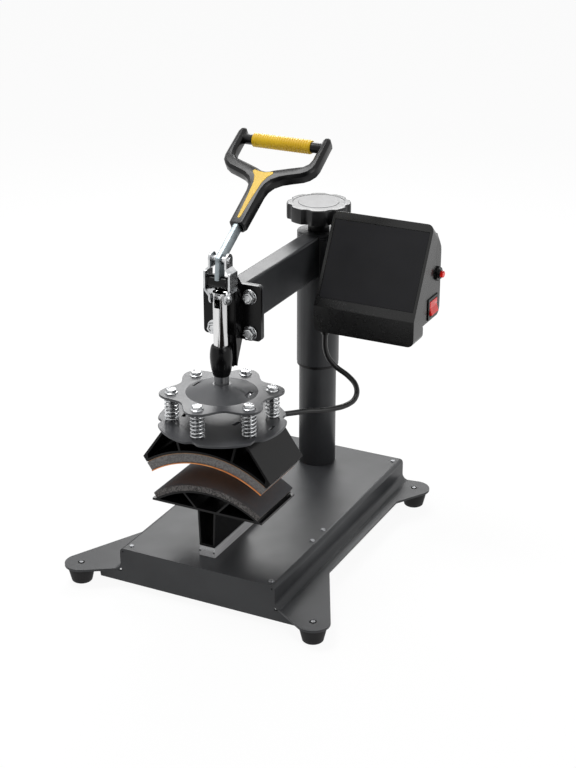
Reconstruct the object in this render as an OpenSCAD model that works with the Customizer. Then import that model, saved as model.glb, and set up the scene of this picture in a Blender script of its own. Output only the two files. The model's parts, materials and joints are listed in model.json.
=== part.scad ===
// Cap heat press: folded steel base, post and swing arm, push toggle clamp,
// curved heater over a curved platen, and a tilted control box.
// Millimetres. +X right, +Y back, +Z up. Origin on the floor, under the middle of the base.

/* [Base] */
// Width of the base's flat top
plate_w = 216; // [210:1:220]
// Length of the base's flat top
plate_l = 392; // [388:1:396]
// Height of the top face above the floor
plate_top = 55; // [54:1:57]
// Thickness of the folded sheet
sheet_t = 3; // [2.5:0.5:3]
// Sideways distance from the middle to a front foot
front_foot_x = 162; // [160:1:164]
// Sideways distance from the middle to a rear foot
rear_foot_x = 133; // [131:1:135]
// Distance from the middle to each row of feet, along the base
foot_row_y = 190; // [189:1:191]

/* [Post and arm] */
// Distance of the post's axis behind the middle of the base
post_y = 158.5; // [158:0.5:159]
// Outer diameter of the post
post_d = 50; // [50:1:50]
// Outer diameter of the swing sleeve
sleeve_d = 56.5; // [56:0.5:57]
// Height of the arm's top face
arm_top = 386; // [385:1:387]
// Height of the arm tube
arm_h = 56; // [54:1:58]
// Width of the arm tube
arm_w = 26; // [25:1:27]
// Diameter of the height knob
knob_d = 84; // [80:1:88]

/* [Head] */
// Distance of the press axis in front of the post's axis
reach = 268.5; // [268:0.5:269]
// Radius of the curved heating and pressing faces
face_r = 129; // [128:1:130]
// Depth of heater and platen along the base
platen_l = 88; // [86:1:90]
// Height of the platen pad's crown
pad_crown = 150.6; // [150:0.2:151]
// Height of the heating face's crown
heat_crown = 179.4; // [179:0.2:180]
// Half angle of the curved faces
half_angle = 35.4; // [35:0.2:36]
// Diameter of the circle of spring bolts
bolt_circle = 122; // [120:1:124]
// Number of spring bolts
bolt_n = 6; // [6:1:6]
// Outer diameter of the head's springs
spring_d = 18; // [17:0.5:18.5]
// Wire diameter of the head's springs
wire_d = 2.4; // [2.2:0.1:2.6]
// Turns of each head spring
spring_turns = 7; // [6:1:7]

/* [Toggle] */
// Length of the crank between the fixed pivot and the link pin
crank_l = 27.2; // [27:0.1:27.4]
// Backward lean of the crank
crank_lean = 6.3; // [6:0.1:6.6]
// Height of the fixed pivot
pivot_z = 400; // [399.5:0.5:400.5]
// Height of the plunger pin
plunger_pin_z = 380; // [379.5:0.5:380.5]
// Slope of the lever above the horizontal
lever_slope = 31.3; // [31:0.1:31.6]
// Distance from the link pin to the cross bar
lever_l = 191; // [190:1:192]

/* [Control box] */
// Left side of the box
box_x0 = 40; // [40:0.5:41]
// Right side of the box
box_x1 = 177; // [176.5:0.5:177]
// Wall thickness of the mouldings
box_wall = 2.5; // [2.4:0.1:2.6]

/* [Cable] */
// Outer diameter of the heater cable
cable_d = 7; // [6.5:0.5:7.5]

/* [Hidden] */
$fn = 64;
fine = 128;
seam = 0.1;

plate_y0 = -183.5;
plate_y1 = plate_y0 + plate_l;
plate_x = plate_w / 2;
fold_in = 2;
fold_out = fold_in + sheet_t;
flange_top = 25;
flange_bot = flange_top - sheet_t;
flange_x = 128;
sweep_in = 9;
sweep_out = sweep_in + sheet_t;
apron_bot = 8.5;
apron_end = 140;
ear_front_r = 21;
ear_rear_r = 21;
foot_top_r = 17.5;
foot_low_r = 13;
foot_hole_r = 4.5;

post_r = post_d / 2;
post_bore = 22;
post_top = 372;
sleeve_r = sleeve_d / 2;
sleeve_in = post_r + 1.3;
sleeve_low = 202.2;
cap_t = 4;
cap_low = arm_top - cap_t;
screw_r = 8;

arm_low = arm_top - arm_h;
arm_wall = 2.5;
arm_front = -232;
end_t = 4;
end_w = 78;
end_low = 320;
end_high = 390;
bracket_gap = 0.1;
bolt_x = 24;
bolt_low = 329;
bolt_high = 375;

heat_z = heat_crown - face_r;
pad_z = pad_crown - face_r;
pad_t = 8;
web_t = 3;
sheet_face_t = 1.1;
block_t = 11.3;
mat_t = 0.8;
block_in = face_r + sheet_face_t + 0.05;
block_out = block_in + block_t;
mat_out = block_out + mat_t + 0.05;
housing_in = mat_out + 0.05;
housing_top = 219.9;
housing_x = 55;
tip_r = 151;
spring_low = 223;
spring_high = 256.5;
star_top = 259.5;
dome_top = 270;
lower_bot = 220;
bolt_shank_r = 4;

pivot_y = -1.5;
pin_y = pivot_y + crank_l * sin(crank_lean);
pin_z = pivot_z + crank_l * cos(crank_lean);
web_in = 12.1;
web_out = 14.7;
plunger_r = 9;

box_tilt = 61.7;
glass_low = [-90.8, 329.4];
glass_h = 102;
glass_w = 128.4;
shell_inset = 3;

rail_x = 11;
rail_top = plate_top + 13.5;
rail_y0 = post_y - reach - platen_l / 2;
rail_l = 116;
end_cover_t = 2.5;

// Route of the heater cable from the box gland to the heater gland, measured from the post's axis
cable_route = [
    [47, -77, 275], [47, -77, 257], [51, -75, 242], [61, -71, 229],
    [75, -69, 220], [88, -73, 212], [96, -84, 205], [98, -99, 200],
    [93, -115, 198], [84, -129, 198], [73, -143, 199], [61, -156, 201],
    [50, -170, 202], [39, -184, 203], [31, -199, 204], [26, -216, 204]
];
cable_sides = 10;
cable_steps = 2;

function unit(v) = v / norm(v);
function polar(r, a) = [r * cos(a), r * sin(a)];

// Point where a line from p touches the circle of centre c and radius r, on the chosen side
function tangent_point(p, c, r, side) =
    let (d = norm(c - p), a = atan2(p[1] - c[1], p[0] - c[0]), b = acos(r / d))
    c + polar(r, a + side * b);

module at_post() {
    translate([0, post_y, 0]) children();
}

module at_head() {
    translate([0, post_y - reach, 0]) children();
}

// Stand a drawing in X and Z up, and run it along Y from y0 for length l
module along_y(y0, l) {
    translate([0, y0 + l, 0]) rotate([90, 0, 0]) linear_extrude(height = l) children();
}

// Stand a drawing in Y and Z up, and run it along X from x0 for length l
module along_x(x0, l) {
    translate([x0, 0, 0]) rotate([90, 0, 90]) linear_extrude(height = l) children();
}

// Cylinder along X, centred on x = 0
module pin_x(r, l, y, z) {
    translate([-l / 2, y, z]) rotate([0, 90, 0]) cylinder(r = r, h = l);
}

// Cylinder along Y from y0
module pin_y(r, l, x, y0, z) {
    translate([x, y0, z]) rotate([-90, 0, 0]) cylinder(r = r, h = l);
}

module mirror_x() {
    children();
    mirror([1, 0, 0]) children();
}

// Rectangle with round corners, from exact circles
module soft_rect(w, h, r) {
    square([w - 2 * r, h], center = true);
    square([w, h - 2 * r], center = true);
    for (sx = [-1, 1], sy = [-1, 1]) {
        translate([sx * (w / 2 - r), sy * (h / 2 - r)]) circle(r = r, $fn = 48);
    }
}

// Quarter ring with its centre at c, filling the quadrant given by signs
module bend(c, r_in, r_out, sx, sy) {
    translate(c) intersection() {
        difference() {
            circle(r = r_out);
            circle(r = r_in);
        }
        translate([sx > 0 ? 0 : -r_out, sy > 0 ? 0 : -r_out]) square(r_out);
    }
}

// Slice of a ring about a centre at height z, between two radii
module arc_slice(z, r_in, r_out, a) {
    reach_out = 2 * r_out;
    translate([0, z]) intersection() {
        difference() {
            circle(r = r_out, $fn = fine);
            circle(r = r_in, $fn = fine);
        }
        polygon([[0, 0], reach_out * [-sin(a), cos(a)], reach_out * [sin(a), cos(a)]]);
    }
}

// Directions along a path, with the two end directions given
function path_dirs(p, d0, d1) = [
    for (i = [0 : len(p) - 1])
        i == 0 ? d0 : i == len(p) - 1 ? d1 : unit(p[i + 1] - p[i - 1])
];
// Sideways directions carried along a path without twist
function carried(t, i, acc) =
    i == len(t) ? acc
    : carried(t, i + 1, concat(acc, [unit(acc[i - 1] - (acc[i - 1] * t[i]) * t[i])]));
// Point on the smooth curve through p, at the fraction f of the stretch that follows point i
function smooth_point(p, i, f) =
    let (a = p[max(i - 1, 0)], b = p[i], c = p[i + 1], d = p[min(i + 2, len(p) - 1)])
    0.5 * (2 * b + (c - a) * f + (2 * a - 5 * b + 4 * c - d) * f * f
        + (3 * b - a - 3 * c + d) * f * f * f);
function smooth_path(p, n) = concat(
    [for (i = [0 : len(p) - 2], k = [0 : n - 1]) smooth_point(p, i, k / n)],
    [p[len(p) - 1]]
);

// Round tube swept along a path as one closed mesh of triangles
module tube(path, r, sides, d0, d1, side0) {
    t = path_dirs(path, d0, d1);
    s = carried(t, 1, [side0]);
    n = len(path);
    points = [
        for (i = [0 : n - 1], k = [0 : sides - 1])
            path[i] + r * (cos(360 * k / sides) * s[i] + sin(360 * k / sides) * cross(t[i], s[i]))
    ];
    walls = [
        for (i = [0 : n - 2], k = [0 : sides - 1], h = [0, 1])
            let (a = i * sides + k, b = i * sides + (k + 1) % sides)
            h == 0 ? [a, a + sides, b] : [b, a + sides, b + sides]
    ];
    start = [for (k = [1 : sides - 2]) [0, k, k + 1]];
    last = (n - 1) * sides;
    end = [for (k = [1 : sides - 2]) [last, last + k + 1, last + k]];
    polyhedron(points = points, faces = concat(walls, start, end), convexity = 8);
}

// Base: side walls sweep out into flanges that end in four ears
module base_profile() {
    wall_low = flange_top + sweep_in;
    translate([-(plate_x - fold_out), plate_top - sheet_t]) {
        square([plate_w - 2 * fold_out, sheet_t]);
    }
    mirror_2d() {
        bend([plate_x - fold_out, plate_top - fold_out], fold_in, fold_out, 1, 1);
        translate([plate_x - sheet_t, wall_low]) {
            square([sheet_t, plate_top - fold_out - wall_low]);
        }
        bend([plate_x + sweep_in, wall_low], sweep_in, sweep_out, -1, -1);
        translate([plate_x + sweep_in, flange_bot]) {
            square([flange_x - plate_x - sweep_in, sheet_t]);
        }
    }
}

module mirror_2d() {
    children();
    mirror([1, 0]) children();
}

// Flat ear from the flange out to a rounded corner
module ear(root_a, root_b, c, r, side) {
    pa = tangent_point(root_a, c, r - 0.06, side);
    pb = tangent_point(root_b, c, r - 0.06, -side);
    translate([0, 0, flange_bot]) linear_extrude(height = sheet_t) {
        polygon([root_a, pa, c, pb, root_b]);
        translate(c) circle(r = r);
    }
}

module base_ears() {
    ear([113, plate_y0], [flange_x - 0.5, -71], [front_foot_x, -foot_row_y], ear_front_r, 1);
    ear([113, plate_y1], [flange_x - 0.5, 139.5], [rear_foot_x, foot_row_y], ear_rear_r, -1);
}

plate_screw_at = [[-97, -173], [98, -173], [98, -60], [98, -28], [-98, 196], [98, 196]];
rail_screw_y = [14, 58, 102];

module base_plate() {
    color("#4b4b4d") difference() {
        union() {
            along_y(plate_y0, plate_l) base_profile();
            along_y(plate_y0, sheet_t) {
                translate([-plate_x + 1, apron_bot]) {
                    square([plate_w - 2, plate_top - fold_out - apron_bot]);
                }
                polygon([
                    [-apron_end, flange_bot + 0.5], [apron_end, flange_bot + 0.5],
                    [apron_end - 2, apron_bot], [-apron_end + 2, apron_bot]
                ]);
                translate([-(plate_x - fold_out), plate_top - fold_out - 1]) {
                    square([plate_w - 2 * fold_out, 4]);
                }
            }
            along_y(plate_y1 - sheet_t, sheet_t) {
                translate([-plate_x + 1, apron_bot]) {
                    square([plate_w - 2, plate_top - fold_out - apron_bot]);
                }
                translate([-(plate_x - fold_out), plate_top - fold_out - 1]) {
                    square([plate_w - 2 * fold_out, 4]);
                }
            }
            mirror_x() base_ears();
        }
        foot_places() translate([0, 0, flange_bot - 1]) cylinder(r = foot_hole_r, h = sheet_t + 2);
        translate([0, post_y, plate_top - sheet_t - 1]) cylinder(r = 8.2, h = sheet_t + 2);
        for (y = rail_screw_y) {
            translate([0, rail_y0 + y, plate_top - sheet_t - 1]) cylinder(r = 2.6, h = sheet_t + 2);
        }
        for (p = plate_screw_at) {
            translate([p[0], p[1], plate_top - sheet_t - 1]) cylinder(r = 2.1, h = sheet_t + 2);
        }
    }
}

module foot_places() {
    for (sx = [-1, 1]) {
        translate([sx * front_foot_x, -foot_row_y, 0]) children();
        translate([sx * rear_foot_x, foot_row_y, 0]) children();
    }
}

module rubber_feet() {
    color("#1b1a1b") foot_places() rotate_extrude() polygon([
        [5.5, 0], [foot_low_r - 1.5, 0], [foot_low_r, 1.5],
        [foot_top_r, flange_bot - 1.5], [foot_top_r, flange_bot],
        [foot_hole_r - 0.1, flange_bot], [foot_hole_r - 0.1, flange_top - 0.4],
        [2.6, flange_top - 0.4], [2.6, 5], [5.5, 5]
    ]);
}

module foot_screws() {
    color("silver") foot_places() {
        translate([0, 0, 1.6]) cylinder(r = 4.8, h = 3.4);
        translate([0, 0, 5]) cylinder(r = 2.5, h = flange_top - 4.4);
    }
}

module post() {
    color("#4b4b4d") at_post() rotate_extrude($fn = fine) polygon([
        [8.1, plate_top], [post_r, plate_top], [post_r, post_top], [post_bore, post_top],
        [post_bore, plate_top + 20], [8.1, plate_top + 20]
    ]);
}

module post_bolt() {
    color("silver") at_post() {
        translate([0, 0, plate_top - sheet_t - 3]) cylinder(r = 15, h = 3);
        translate([0, 0, plate_top - sheet_t - 13]) cylinder(r = 13.8, h = 10, $fn = 6);
        translate([0, 0, plate_top - sheet_t]) cylinder(r = 8, h = 22);
    }
}

module lead_nut() {
    color("silver") at_post() translate([0, 0, 340]) difference() {
        cylinder(r = post_bore - 0.05, h = post_top - 340);
        translate([0, 0, -1]) cylinder(r = screw_r + 0.06, h = 40);
    }
}

// Aluminium rail: a channel with a slot along its top
module rail_section() {
    translate([0, plate_top]) difference() {
        translate([-rail_x, 0]) square([2 * rail_x, rail_top - plate_top]);
        translate([-8.5, 3]) square([17, 8]);
        translate([-4.6, 10]) square([9.2, 6]);
    }
}

module platen_rail() {
    color("#c9cacc") difference() {
        along_y(rail_y0 + end_cover_t, rail_l - end_cover_t) rail_section();
        for (y = rail_screw_y) {
            translate([0, rail_y0 + y, plate_top - 1]) cylinder(r = 2.6, h = 5);
            translate([0, rail_y0 + y, plate_top + 0.8]) cylinder(r1 = 2.6, r2 = 4.9, h = 2.3);
        }
        for (sx = [-1, 1]) pin_y(1.1, 8, sx * 9.7, rail_y0 + 2, plate_top + 7);
    }
}

module rail_end_cover() {
    color("#d0d1d3") difference() {
        along_y(rail_y0, end_cover_t - 0.02) {
            translate([-rail_x, plate_top]) square([2 * rail_x, rail_top - plate_top]);
        }
        for (sx = [-1, 1]) pin_y(1.15, 8, sx * 9.7, rail_y0 - 1, plate_top + 7);
    }
}

module rail_screws() {
    color("#8f9093") {
        for (y = rail_screw_y) translate([0, rail_y0 + y, 0]) {
            translate([0, 0, plate_top - 6]) cylinder(r = 2.5, h = 7);
            translate([0, 0, plate_top + 0.9]) cylinder(r1 = 2.5, r2 = 4.7, h = 2.1);
        }
        for (sx = [-1, 1]) {
            pin_y(1.05, 7, sx * 9.7, rail_y0 - 0.1, plate_top + 7);
            pin_y(1.25, 1, sx * 9.7, rail_y0 - 1, plate_top + 7);
        }
    }
}

module plate_screws() {
    color("silver") for (p = plate_screw_at) translate([p[0], p[1], 0]) {
        translate([0, 0, plate_top - 8]) cylinder(r = 2, h = 8);
        translate([0, 0, plate_top]) cylinder(r1 = 3.4, r2 = 2.6, h = 1.4);
    }
}

// Platen: extruded arch with a flat strip, two ribs and a tapered hollow stem
strip_low = 116;
strip_top = 119;
arch_out = face_r - pad_t - 0.05;
stem_low = rail_top + 0.4;

module bar_2d(p, q, t) {
    d = unit(q - p);
    s = [-d[1], d[0]] * t / 2;
    polygon([p + s, q + s, q - s, p - s]);
}

module platen_support() {
    color("#1f1f20") at_head() {
        along_y(-platen_l / 2, platen_l) {
            arc_slice(pad_z, arch_out - web_t, arch_out, half_angle + 1.1);
        }
        along_y(-platen_l / 2, platen_l) {
            translate([-76, strip_low]) square([152, strip_top - strip_low]);
        }
        mirror_x() {
            along_y(-platen_l / 2, platen_l) bar_2d([14, 117.5], [32.5, 137], 2.5);
            along_y(-platen_l / 2, platen_l) bar_2d([11.2, 117.5], [9.3, stem_low + 1.2], 2.5);
        }
        along_y(-platen_l / 2, platen_l) {
            translate([-10.4, stem_low]) square([20.8, 3]);
        }
    }
}

module platen_pad() {
    color("#57514c") at_head() along_y(-platen_l / 2 - 0.5, platen_l + 1) {
        arc_slice(pad_z, face_r - pad_t, face_r, half_angle);
    }
}

module platen_slider() {
    color("#77787a") at_head() along_y(-platen_l / 2 + 6, 76) {
        translate([-7.9, plate_top + 5]) square([15.8, 5.7]);
        translate([-4.3, plate_top + 9]) square([8.6, stem_low - plate_top - 9]);
    }
}

// Lift collar: two flanged bushes that ride up and down the post, and a washer under the cap
module sleeve_bushes() {
    bush_in = post_r + 0.05;
    bush_out = sleeve_in - 0.05;
    color("#2a2a2b") at_post() {
        rotate_extrude($fn = fine) polygon([
            [bush_in, 199], [sleeve_r - 0.3, 199], [sleeve_r - 0.3, 202],
            [bush_out, 202], [bush_out, 224], [bush_in, 224]
        ]);
        translate([0, 0, 345]) difference() {
            cylinder(r = bush_out, h = 22, $fn = fine);
            translate([0, 0, -1]) cylinder(r = bush_in, h = 24, $fn = fine);
        }
    }
}

module thrust_washer() {
    color("#b58b4a") at_post() translate([0, 0, cap_low - 2]) difference() {
        cylinder(r = 20, h = 1.95);
        translate([0, 0, -1]) cylinder(r = screw_r + 0.1, h = 4);
    }
}

// Height adjustment: knob, stem and screw
knob_low = 403.5;
knob_t = 20.5;
knob_lobes = 8;

module knob() {
    knob_r = knob_d / 2;
    color("#2b2b2c") at_post() translate([0, 0, knob_low]) difference() {
        intersection() {
            linear_extrude(height = knob_t) difference() {
                circle(r = knob_r, $fn = fine);
                for (k = [0 : knob_lobes - 1]) {
                    rotate(k * 360 / knob_lobes + 2.5) translate([knob_r + 6, 0]) circle(r = 9.5);
                }
            }
            rotate_extrude($fn = fine) polygon([
                [0, 0], [knob_r - 1, 0], [knob_r, 1], [knob_r, knob_t - 2.2],
                [knob_r - 2.2, knob_t], [0, knob_t]
            ]);
        }
        translate([0, 0, -1]) difference() {
            cylinder(r = knob_r - 8, h = 13);
            cylinder(r = 15.5, h = 13);
        }
        translate([0, 0, -1]) cylinder(r = screw_r + 0.05, h = 16);
    }
}

module knob_stem() {
    color("#222223") at_post() translate([0, 0, arm_top + 0.2]) difference() {
        cylinder(r = 14, h = knob_low - arm_top - 0.25);
        translate([0, 0, -1]) cylinder(r = screw_r + 0.05, h = 30);
    }
}

module lead_screw() {
    color("#9a9b9d") at_post() {
        translate([0, 0, 300]) cylinder(r = screw_r, h = 118);
        translate([0, 0, post_top + 0.3]) cylinder(r = 13, h = cap_low - 2.1 - post_top - 0.3);
    }
}

// Arm
module swing_sleeve() {
    color("#4b4b4d") at_post() translate([0, 0, sleeve_low]) difference() {
        cylinder(r = sleeve_r, h = cap_low - sleeve_low - 0.02, $fn = fine);
        translate([0, 0, -1]) cylinder(r = sleeve_in, h = 200, $fn = fine);
    }
}

module sleeve_cap() {
    color("#4b4b4d") at_post() translate([0, 0, cap_low]) difference() {
        cylinder(r = sleeve_r, h = cap_t, $fn = fine);
        translate([0, 0, -1]) cylinder(r = screw_r + 0.6, h = cap_t + 2);
    }
}

module arm_beam() {
    color("#4b4b4d") at_post() difference() {
        along_y(arm_front, -arm_front) translate([0, arm_low + arm_h / 2]) difference() {
            soft_rect(arm_w, arm_h, 3.5);
            soft_rect(arm_w - 2 * arm_wall, arm_h - 2 * arm_wall, 1.5);
        }
        translate([0, 0, arm_low - 1]) cylinder(r = sleeve_r + 0.03, h = arm_h + 2, $fn = fine);
    }
}

module end_outline() {
    translate([0, (end_low + end_high) / 2]) soft_rect(end_w, end_high - end_low, 5);
}

module bracket_holes(y0, l, r) {
    for (sx = [-1, 1], z = [bolt_low, bolt_high]) pin_y(r, l, sx * bolt_x, y0, z);
}

module arm_end_plate() {
    color("#4b4b4d") at_post() difference() {
        along_y(arm_front - end_t, end_t - 0.02) end_outline();
        bracket_holes(arm_front - 10, 20, 4.5);
    }
}

flange_y1 = arm_front - end_t - bracket_gap;
flange_y0 = flange_y1 - end_t;

module clamp_bracket() {
    back = flange_y0 + reach + 0.5;
    color("#161617") at_post() difference() {
        union() {
            along_y(flange_y0, end_t) end_outline();
            translate([0, -reach, 0]) mirror_x() along_x(web_in, web_out - web_in) {
                polygon([
                    [back, 388], [18, 402], [4, 406.4], [pivot_y, 407], [pivot_y, 393],
                    [4, 393.6], [10.5, 386], [10.5, 328], [12, 316], [12, 291], [13.5, 291],
                    [15.5, 298], [back, 326]
                ]);
                translate([pivot_y, pivot_z]) circle(r = 7);
            }
        }
        translate([0, -reach, 0]) pin_x(4, 40, pivot_y, pivot_z);
        bracket_holes(flange_y0 - 10, 20, 4.5);
    }
}

module plunger_guide() {
    color("#141415") at_head() difference() {
        union() {
            rotate_extrude($fn = fine) polygon([
                [0, 281], [9.8, 281], [10.6, 283], [12.4, 290], [13.5, 297], [13.9, 304],
                [13.6, 311], [12.6, 318], [11.6, 319.5], [0, 319.5]
            ]);
            along_x(-web_in + 0.1, 2 * web_in - 0.2) polygon([
                [8, 291], [13.5, 291], [15.5, 298], [28, 325], [28, 331], [8, 331]
            ]);
        }
        translate([0, 0, 270]) cylinder(r = plunger_r + 0.05, h = 70, $fn = fine);
    }
}

module bracket_bolts() {
    color("#b9babc") at_post() for (sx = [-1, 1], z = [bolt_low, bolt_high]) {
        pin_y(9.5, 1.9, sx * bolt_x, flange_y0 - 2, z);
        translate([sx * bolt_x, flange_y0 - 2, z]) rotate([90, 0, 0]) cylinder(r = 8.2, h = 6, $fn = 6);
        pin_y(4.4, 20, sx * bolt_x, flange_y0 - 1, z);
    }
}

module bracket_nuts() {
    color("#b9babc") at_post() for (sx = [-1, 1], z = [bolt_low, bolt_high]) {
        translate([sx * bolt_x, arm_front + 6.5, z]) rotate([90, 0, 0]) difference() {
            cylinder(r = 8.2, h = 6.5, $fn = 6);
            translate([0, 0, -1]) cylinder(r = 4.45, h = 9);
        }
    }
}

module pivot_pin() {
    color("#c4c5c7") at_head() pin_x(3.9, 30.2, pivot_y, pivot_z);
}

// Control box, drawn in the side view from the post's axis
bezel_outer = [
    [-40.4, 424], [-36.6, 425.2], [-33, 424.4], [-20.5, 413.5], [-71.7, 318.4], [-68.5, 303],
    [-66, 298], [-66, 287.5], [-68.5, 285], [-88, 285], [-93.5, 288], [-96.3, 294],
    [-97, 303], [-96.5, 317], [-92.4, 327.8]
];
bezel_inner = [
    [-37.2, 418.3], [-32.5, 420.5], [-20.4, 409.5], [-69.5, 316], [-66.3, 301.5], [-68.5, 296.5],
    [-68.5, 289], [-70, 287.5], [-87.5, 287.5], [-91.8, 289.8], [-93.9, 295], [-94.5, 303],
    [-93.8, 314], [-89, 323.5]
];
rear_outer = [
    [-20.1, 412.6], [-9, 397.5], [-5, 391], [-4, 386], [-4, 310], [-6.5, 304], [-12, 301],
    [-67.6, 301], [-68.1, 303], [-71.3, 318.2]
];
rear_inner = [
    [-24, 414], [-11.2, 396], [-7.4, 390], [-6.5, 385.5], [-6.5, 310.6], [-8.4, 306],
    [-12.8, 303.5], [-72, 303.5], [-75, 318.2]
];

module on_glass() {
    at_post() translate([0, glass_low[0], glass_low[1]]) rotate([box_tilt, 0, 0]) children();
}

box_mid = (box_x0 + box_x1) / 2;
gland_at = [47, -77];

module box_bezel() {
    color("#1d1c1c") difference() {
        intersection() {
            at_post() along_x(box_x0, box_x1 - box_x0) polygon(bezel_outer);
            on_glass() translate([box_mid, 34.7, -75]) {
                linear_extrude(height = 82) soft_rect(box_x1 - box_x0, 146.4, 9);
            }
        }
        at_post() {
            along_x(box_x0 + box_wall + 1.5, box_x1 - box_x0 - 2 * box_wall - 3) {
                polygon(bezel_inner);
            }
            translate([gland_at[0], gland_at[1], 280]) cylinder(r = 3.9, h = 12);
        }
        on_glass() {
            translate([box_mid - glass_w / 2 - 0.2, -0.2, -3]) {
                cube([glass_w + 0.4, glass_h + 0.4, 20]);
            }
            translate([box_mid - glass_w / 2 + 5, 5, -12]) cube([glass_w - 10, glass_h - 10, 20]);
        }
    }
}

module box_rear_shell() {
    inner = shell_inset + box_wall;
    color("#191919") at_post() difference() {
        along_x(box_x0 + shell_inset, box_x1 - box_x0 - 2 * shell_inset) polygon(rear_outer);
        along_x(box_x0 + inner, box_x1 - box_x0 - 2 * inner) polygon(rear_inner);
        translate([side_x - 7, rocker_y - 14, rocker_z - 11.5]) cube([12, 28, 23]);
        translate([side_x - 7, breaker_y, breaker_z]) rotate([0, 90, 0]) cylinder(r = 6.1, h = 12);
        translate([box_mid - 14, -11, 316]) cube([28, 12, 20]);
        for (p = box_screw_at) pin_y(1.9, 12, p[0], -12, p[1]);
    }
}

box_screw_at = [[53, 316], [164, 316], [53, 383], [164, 383]];

module display_panel() {
    color("#29292a") on_glass() translate([box_mid - glass_w / 2, 0, -2.9]) {
        cube([glass_w, glass_h, 3]);
    }
}

module control_board() {
    color("#2f6b3c") on_glass() {
        translate([box_mid - 54, 10, -9]) cube([108, 82, 1.6]);
        translate([box_mid - 48, 20, -15]) cube([30, 22, 6]);
        translate([box_mid + 8, 26, -17]) cube([18, 26, 8]);
        translate([box_mid - 30, 58, -13]) cube([40, 12, 4]);
        for (x = [-48, 48], y = [15, 87]) {
            translate([box_mid + x, y, -7.4]) cylinder(r = 3, h = 4.4);
        }
    }
}

module heater_relay() {
    color("#34495e") at_post() {
        translate([box_mid - 20, -34, 342]) cube([30, 26, 40]);
        translate([box_mid - 16, -8, 348]) cube([22, 1.45, 24]);
    }
}

// Rocker switch on the right side; the rocker tips about an axis along Y
side_x = box_x1 - shell_inset;
rocker_y = -29.5;
rocker_z = 317.5;
rocker_x = side_x - 4.8;
rocker_rest = 8;

module switch_frame() {
    color("#151515") at_post() difference() {
        union() {
            translate([side_x, rocker_y - 16, rocker_z - 14]) cube([1.6, 32, 28]);
            translate([side_x - 20, rocker_y - 13.8, rocker_z - 11.3]) cube([20, 27.6, 22.6]);
        }
        translate([side_x - 12, rocker_y - 12, rocker_z - 10.2]) cube([20, 24, 20.4]);
    }
}

module rocker() {
    color("#e0201c") at_post() translate([rocker_x, 0, rocker_z]) {
        rotate([0, -rocker_rest, 0]) translate([0, rocker_y + 11.5, 0]) rotate([90, 0, 0]) {
            linear_extrude(height = 23) polygon([
                [-4, -6], [1, -8.8], [8.3, -9], [6.9, 0], [8.3, 9], [1, 8.8], [-4, 6]
            ]);
        }
    }
}

breaker_y = -15;
breaker_z = 357.5;

module breaker_body() {
    color("#101010") at_post() translate([0, breaker_y, breaker_z]) rotate([0, 90, 0]) difference() {
        union() {
            translate([0, 0, side_x]) cylinder(r = 10, h = 2.8, $fn = 6);
            translate([0, 0, side_x]) cylinder(r = 6, h = 5.2);
            translate([0, 0, side_x - 2.5]) cylinder(r = 6, h = 4);
            translate([-14, -7.5, side_x - 32]) cube([28, 15, 29.45]);
        }
        translate([0, 0, side_x - 8]) cylinder(r = 4.6, h = 30);
    }
}

module reset_button() {
    color("#d0202a") at_post() translate([0, breaker_y, breaker_z]) rotate([0, 90, 0]) {
        translate([0, 0, side_x - 4]) cylinder(r = 4.4, h = 12);
        translate([0, 0, side_x + 7.9]) cylinder(r1 = 4.4, r2 = 3.5, h = 0.9);
    }
}

module power_inlet() {
    color("#121212") at_post() difference() {
        union() {
            translate([box_mid - 20, -3.95, 312]) cube([40, 2.2, 28]);
            translate([box_mid - 13.8, -28, 316.2]) cube([27.6, 24.5, 19.6]);
        }
        translate([box_mid - 11.5, -23, 318.5]) cube([23, 25, 15]);
        for (sx = [-1, 1]) pin_y(1.6, 8, box_mid + sx * 16.5, -7, 326);
    }
}

module box_screws() {
    color("#8c8d90") at_post() for (p = box_screw_at) {
        pin_y(1.8, 10, p[0], -13.5, p[1]);
        pin_y(3.3, 1.6, p[0], -3.95, p[1]);
    }
}

module box_gland() {
    color("#131313") at_post() translate([gland_at[0], gland_at[1], 0]) difference() {
        union() {
            translate([0, 0, 275]) cylinder(r1 = 4.8, r2 = 6.2, h = 4);
            translate([0, 0, 279]) cylinder(r = 6.6, h = 5.9);
            translate([0, 0, 284.5]) cylinder(r = 3.85, h = 6);
        }
        translate([0, 0, 275.6]) cylinder(r = 2.8, h = 20);
    }
}

// Bracket between the sleeve and the box's left wall
module box_bracket() {
    wall_x = box_x0 + shell_inset - 0.02;
    color("#232324") at_post() difference() {
        union() {
            translate([16, -26, 318]) cube([wall_x - 16, 18, 62]);
            translate([wall_x - 3.5, -36, 324]) cube([3.5, 30, 50]);
        }
        translate([0, 0, 290]) cylinder(r = sleeve_r + 0.03, h = 110, $fn = fine);
    }
}

// Lever and grip, drawn along the lever from the link pin
module on_lever() {
    at_head() translate([0, pin_y, pin_z]) rotate([lever_slope, 0, 0]) children();
}

module lever() {
    bar_t = 6;
    color("#aeb6b9") difference() {
        union() {
            at_head() along_x(-bar_t / 2, bar_t) bar_2d([pivot_y, pivot_z], [pin_y, pin_z], 14.4);
            at_head() along_x(-bar_t / 2, bar_t) {
                bar_2d([pin_y, pin_z], [pin_y, pin_z] + polar(112, lever_slope), 13.5);
            }
            at_head() pin_x(8.2, bar_t, pin_y, pin_z);
            at_head() pin_x(7.6, 23.6, pivot_y, pivot_z);
        }
        at_head() pin_x(3.95, 40, pivot_y, pivot_z);
        at_head() pin_x(4.02, 40, pin_y, pin_z);
    }
}

module link_pin() {
    color("#d4d5d6") at_head() pin_x(4, 27.2, pin_y, pin_z);
}

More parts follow.
